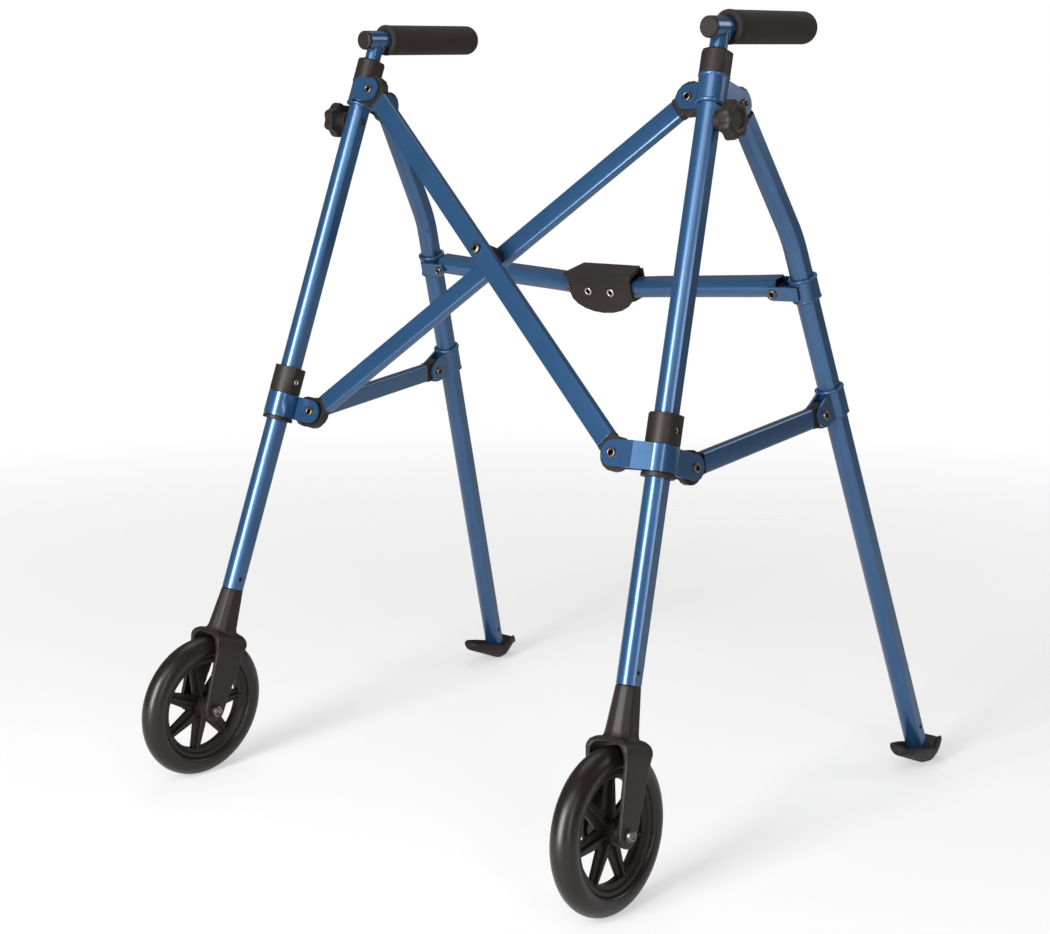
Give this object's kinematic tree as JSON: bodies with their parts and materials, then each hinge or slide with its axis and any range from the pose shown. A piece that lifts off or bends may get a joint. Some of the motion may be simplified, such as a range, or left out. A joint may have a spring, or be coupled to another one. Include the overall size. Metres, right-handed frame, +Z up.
{
  "type": "walker",
  "caption": "Folding walker with wheels on the front legs, glides on the rear legs, crossed front bars, a folding cross bar with a lift latch and foam grips on height-adjustable posts.",
  "frame": {"origin": "on the floor, at the middle of the walker's own length and width as it stands open", "axes": "+Z up; +Y back, towards the person who holds the grips; +X to the side, from the left frame to the right"},
  "size_m": [0.6516, 0.6322, 0.7977],
  "materials": {
    "blue": "satin metallic blue paint",
    "black": "moulded black plastic with a soft sheen",
    "tread": "smooth black solid tyre",
    "foam": "dull black closed-cell foam",
    "steel": "plated steel"
  },
  "bodies": {
    "latch": {"latch": "black"},
    "right_half_bar": {"right_half_bar": "blue", "right_half_bar_plug": "black"},
    "right_rear_leg": {"right_rear_leg": "blue", "right_rear_leg_plug": "black", "right_cross_ring": "blue", "right_brace_bracket": "blue", "right_glide": "black"},
    "right_front_leg": {"right_front_leg": "blue", "right_hub_bracket": "blue", "right_top_bushing": "black", "right_stop_collar": "black", "right_fork": "black", "right_axle_bolt": "steel"},
    "right_slider": {"right_slider_bracket": "blue", "right_slider_liner": "black"},
    "right_side_brace": {"right_side_brace": "blue", "right_brace_front_cap": "black", "right_brace_rear_cap": "black"},
    "right_handle": {"right_handle_post": "blue", "right_handle_cap": "black", "right_grip": "foam"},
    "right_knob": {"right_star_knob": "black"},
    "right_wheel": {"right_wheel": "black", "right_tyre": "tread"},
    "left_half_bar": {"left_half_bar": "blue", "left_half_bar_plug": "black"},
    "left_rear_leg": {"left_rear_leg": "blue", "left_rear_leg_plug": "black", "left_cross_ring": "blue", "left_brace_bracket": "blue", "left_glide": "black"},
    "left_front_leg": {"left_front_leg": "blue", "left_hub_bracket": "blue", "left_top_bushing": "black", "left_stop_collar": "black", "left_fork": "black", "left_axle_bolt": "steel"},
    "left_slider": {"left_slider_bracket": "blue", "left_slider_liner": "black"},
    "left_side_brace": {"left_side_brace": "blue", "left_brace_front_cap": "black", "left_brace_rear_cap": "black"},
    "left_handle": {"left_handle_post": "blue", "left_handle_cap": "black", "left_grip": "foam"},
    "left_knob": {"left_star_knob": "black"},
    "left_wheel": {"left_wheel": "black", "left_tyre": "tread"},
    "rear_bar": {"rear_bar": "blue", "rear_bar_top_cap": "black", "rear_bar_low_cap": "black", "middle_nut": "steel"},
    "front_bar": {"front_bar": "blue", "front_bar_top_cap": "black", "front_bar_low_cap": "black", "middle_bolt": "steel", "middle_spacer": "black"}
  },
  "joints": [
    {"name": "fold", "type": "hinge", "parent": "latch", "child": "right_half_bar", "pos_m": [0.015, 0.11414, 0.51593], "axis": [0, 0.9472, 0.3206], "range_deg": [0, 75.95]},
    {"name": "left_half_bar_turn", "type": "hinge", "parent": "latch", "child": "left_half_bar", "pos_m": [-0.015, 0.11414, 0.51593], "axis": [0, -0.9472, -0.3206], "range_deg": [0, 75.96]},
    {"name": "right_ring_pivot", "type": "hinge", "parent": "right_half_bar", "child": "right_rear_leg", "pos_m": [0.2225, 0.10292, 0.52755], "axis": [-0.0671, 0.9451, 0.3199], "range_deg": [-72.3, 0]},
    {"name": "left_ring_pivot", "type": "hinge", "parent": "left_half_bar", "child": "left_rear_leg", "pos_m": [-0.2225, 0.10292, 0.52755], "axis": [-0.0671, -0.9451, -0.3199], "range_deg": [-72.3, 0]},
    {"name": "right_side_pivot", "type": "hinge", "parent": "right_rear_leg", "child": "right_front_leg", "pos_m": [0.22847, 0.01006, 0.7065], "axis": [0.9946, -0.0509, 0.0904], "range_deg": [0, 23.46]},
    {"name": "left_side_pivot", "type": "hinge", "parent": "left_rear_leg", "child": "left_front_leg", "pos_m": [-0.22847, 0.01006, 0.7065], "axis": [0.9946, 0.0509, -0.0904], "range_deg": [0, 23.46]},
    {"name": "rear_bar_pivot", "type": "hinge", "parent": "right_front_leg", "child": "rear_bar", "pos_m": [0.19303, -0.01245, 0.71132], "axis": [0, 0.9494, -0.314], "range_deg": [-38.56, 0]},
    {"name": "front_bar_pivot", "type": "hinge", "parent": "left_front_leg", "child": "front_bar", "pos_m": [-0.19303, -0.04378, 0.72168], "axis": [0, -0.9494, 0.314], "range_deg": [-38.56, 0]},
    {"name": "right_slider_travel", "type": "slide", "parent": "right_front_leg", "child": "right_slider", "axis": [0.0701, -0.3132, -0.9471], "range_m": [0, 0.17171]},
    {"name": "left_slider_travel", "type": "slide", "parent": "left_front_leg", "child": "left_slider", "axis": [-0.0701, -0.3132, -0.9471], "range_m": [0, 0.17171]},
    {"name": "right_brace_pivot", "type": "hinge", "parent": "right_rear_leg", "child": "right_side_brace", "pos_m": [0.26186, 0.1202, 0.40132], "axis": [0.9946, -0.0509, 0.0904], "range_deg": [0, 68.15]},
    {"name": "left_brace_pivot", "type": "hinge", "parent": "left_rear_leg", "child": "left_side_brace", "pos_m": [-0.26186, 0.1202, 0.40132], "axis": [0.9946, 0.0509, -0.0904], "range_deg": [0, 68.15]},
    {"name": "right_handle_height", "type": "slide", "parent": "right_front_leg", "child": "right_handle", "axis": [-0.0701, 0.3132, 0.9471], "range_m": [0, 0.11]},
    {"name": "left_handle_height", "type": "slide", "parent": "left_front_leg", "child": "left_handle", "axis": [0.0701, 0.3132, 0.9471], "range_m": [0, 0.11]},
    {"name": "right_knob_turn", "type": "hinge", "parent": "right_front_leg", "child": "right_knob", "pos_m": [0.22752, -0.03664, 0.69072], "axis": [0.9975, 0.022, 0.0665], "range_deg": [0, 360]},
    {"name": "left_knob_turn", "type": "hinge", "parent": "left_front_leg", "child": "left_knob", "pos_m": [-0.22752, -0.03664, 0.69072], "axis": [0.9975, -0.022, -0.0665], "range_deg": [0, 360]},
    {"name": "right_wheel_spin", "type": "hinge", "parent": "right_front_leg", "child": "right_wheel", "pos_m": [0.273, -0.23991, 0.07606], "axis": [0.9975, 0.022, 0.0665], "continuous": true},
    {"name": "left_wheel_spin", "type": "hinge", "parent": "left_front_leg", "child": "left_wheel", "pos_m": [-0.273, -0.23991, 0.07606], "axis": [0.9975, -0.022, -0.0665], "continuous": true}
  ],
  "couplings": [
    {"joint": "left_half_bar_turn", "follows": "fold", "ratio": 1},
    {"joint": "right_ring_pivot", "follows": "fold", "ratio": -0.95185},
    {"joint": "left_ring_pivot", "follows": "fold", "ratio": -0.95185},
    {"joint": "right_side_pivot", "follows": "fold", "ratio": 0.3087},
    {"joint": "left_side_pivot", "follows": "fold", "ratio": 0.3087},
    {"joint": "rear_bar_pivot", "follows": "fold", "ratio": -0.50757},
    {"joint": "front_bar_pivot", "follows": "fold", "ratio": -0.50757},
    {"joint": "right_slider_travel", "follows": "fold", "m_per_rad": 0.12953},
    {"joint": "left_slider_travel", "follows": "fold", "m_per_rad": 0.12953},
    {"joint": "right_brace_pivot", "follows": "fold", "ratio": 0.8971},
    {"joint": "left_brace_pivot", "follows": "fold", "ratio": 0.8971}
  ]
}
